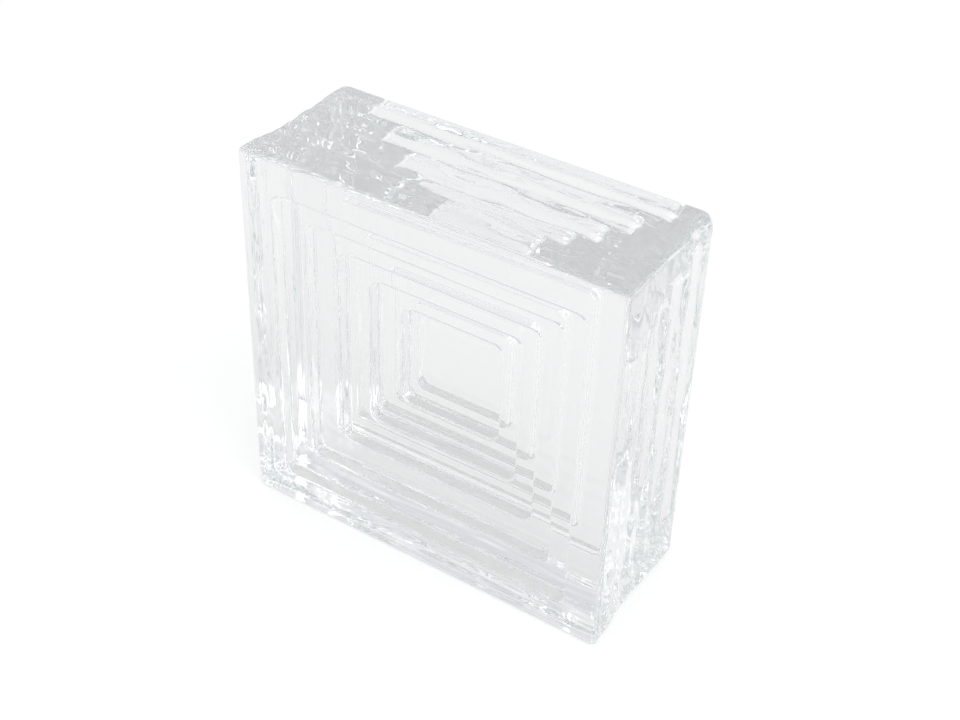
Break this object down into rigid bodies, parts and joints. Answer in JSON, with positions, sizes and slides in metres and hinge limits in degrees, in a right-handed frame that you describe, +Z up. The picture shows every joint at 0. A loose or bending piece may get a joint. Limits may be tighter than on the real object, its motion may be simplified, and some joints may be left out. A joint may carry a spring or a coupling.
{
  "type": "glass block",
  "caption": "Solid pressed clear glass block with a square face, a stepped square recess pressed into the front and the back, and a shallow waist round its sides.",
  "frame": {"origin": "middle of the bottom edge band, at floor level, under the centre of the block", "axes": "+Z up, +X across the square face, +Y through the thickness from the front face to the back face"},
  "size_m": [0.194, 0.076, 0.194],
  "materials": {
    "clear_glass": "clear, fire-polished, slightly wavy"
  },
  "bodies": {
    "root": {"glass_block": "clear_glass"}
  },
  "joints": []
}
